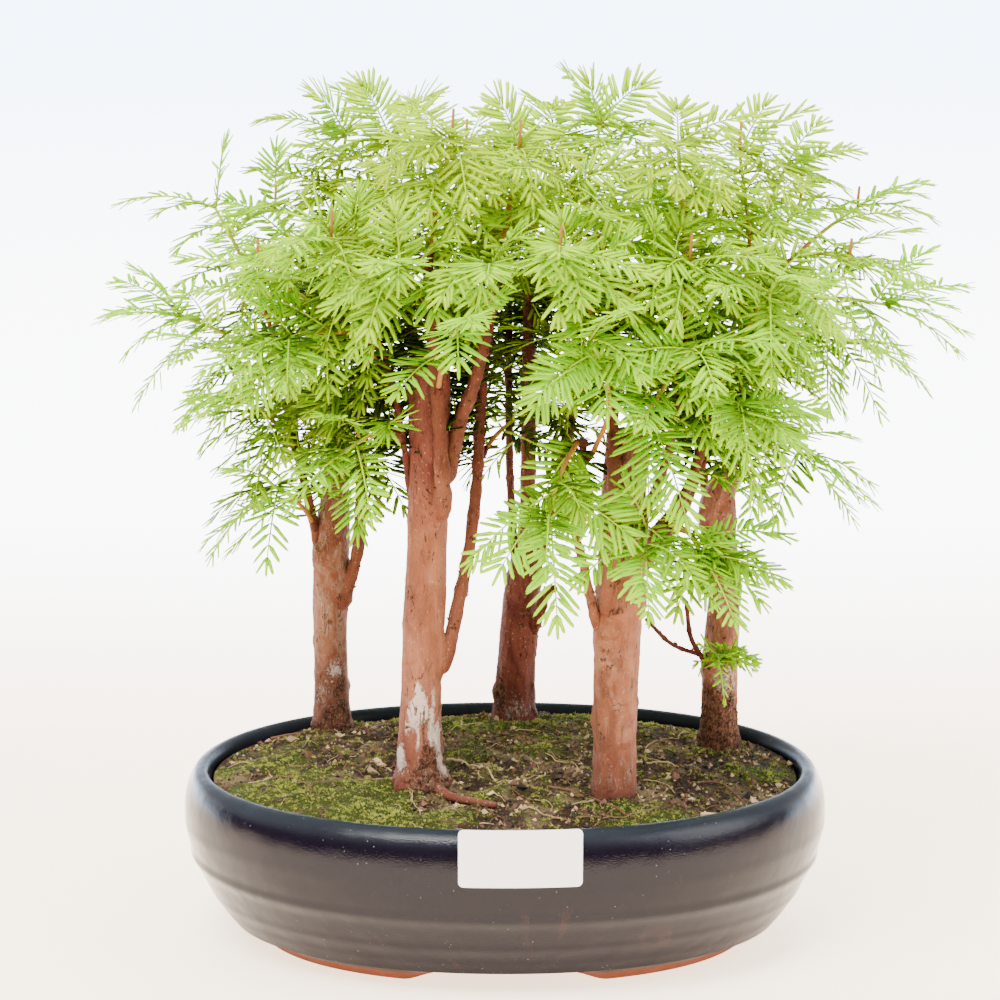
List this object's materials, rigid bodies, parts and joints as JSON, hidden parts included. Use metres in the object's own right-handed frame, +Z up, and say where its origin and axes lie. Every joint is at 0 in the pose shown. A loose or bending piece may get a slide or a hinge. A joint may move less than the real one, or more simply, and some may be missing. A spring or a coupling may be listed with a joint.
{
  "type": "dawn redwood bonsai forest",
  "caption": "Small forest of topped dawn redwood trunks with feathery green shoots, planted in mossy soil in an oval glazed bonsai tray on feet.",
  "frame": {"origin": "middle of the whole object's footprint, on the surface that the tray's feet stand on", "axes": "+Z up, +X along the tray to the right as seen from its labelled front, +Y from the front to the back"},
  "size_m": [0.388, 0.3226, 0.3845],
  "materials": {
    "glaze": "gloss",
    "soil": "matte",
    "screen": "matte",
    "label": "satin",
    "bark": "matte",
    "leaf": "satin"
  },
  "bodies": {
    "root": {"drain_screen_left": "screen", "drain_screen_right": "screen", "label": "label", "soil": "soil", "tray": "glaze", "tree_1": "bark", "tree_1_shoot_01": "leaf", "tree_1_shoot_02": "leaf", "tree_1_shoot_03": "leaf", "tree_1_shoot_04": "leaf", "tree_1_shoot_05": "leaf", "tree_1_shoot_06": "leaf", "tree_1_shoot_07": "leaf", "tree_1_shoot_08": "leaf", "tree_1_shoot_09": "leaf", "tree_1_shoot_10": "leaf", "tree_2": "bark", "tree_2_shoot_11": "leaf", "tree_2_shoot_12": "leaf", "tree_2_shoot_13": "leaf", "tree_2_shoot_14": "leaf", "tree_2_shoot_15": "leaf", "tree_2_shoot_16": "leaf", "tree_2_shoot_17": "leaf", "tree_2_shoot_18": "leaf", "tree_2_shoot_19": "leaf", "tree_2_shoot_20": "leaf", "tree_2_shoot_21": "leaf", "tree_2_shoot_22": "leaf", "tree_3": "bark", "tree_3_shoot_23": "leaf", "tree_3_shoot_24": "leaf", "tree_3_shoot_25": "leaf", "tree_3_shoot_26": "leaf", "tree_3_shoot_27": "leaf", "tree_3_shoot_28": "leaf", "tree_4": "bark", "tree_4_shoot_29": "leaf", "tree_4_shoot_30": "leaf", "tree_4_shoot_31": "leaf", "tree_4_shoot_32": "leaf", "tree_4_shoot_33": "leaf", "tree_4_shoot_34": "leaf", "tree_4_shoot_35": "leaf", "tree_4_shoot_36": "leaf", "tree_4_shoot_37": "leaf", "tree_4_shoot_38": "leaf", "tree_4_shoot_39": "leaf", "tree_4_shoot_40": "leaf", "tree_4_shoot_41": "leaf", "tree_5": "bark", "tree_5_shoot_42": "leaf", "tree_5_shoot_43": "leaf", "tree_5_shoot_44": "leaf", "tree_5_shoot_45": "leaf", "tree_5_shoot_46": "leaf", "tree_5_shoot_47": "leaf", "tree_5_shoot_48": "leaf", "tree_5_shoot_49": "leaf", "tree_5_shoot_50": "leaf"}
  },
  "joints": []
}
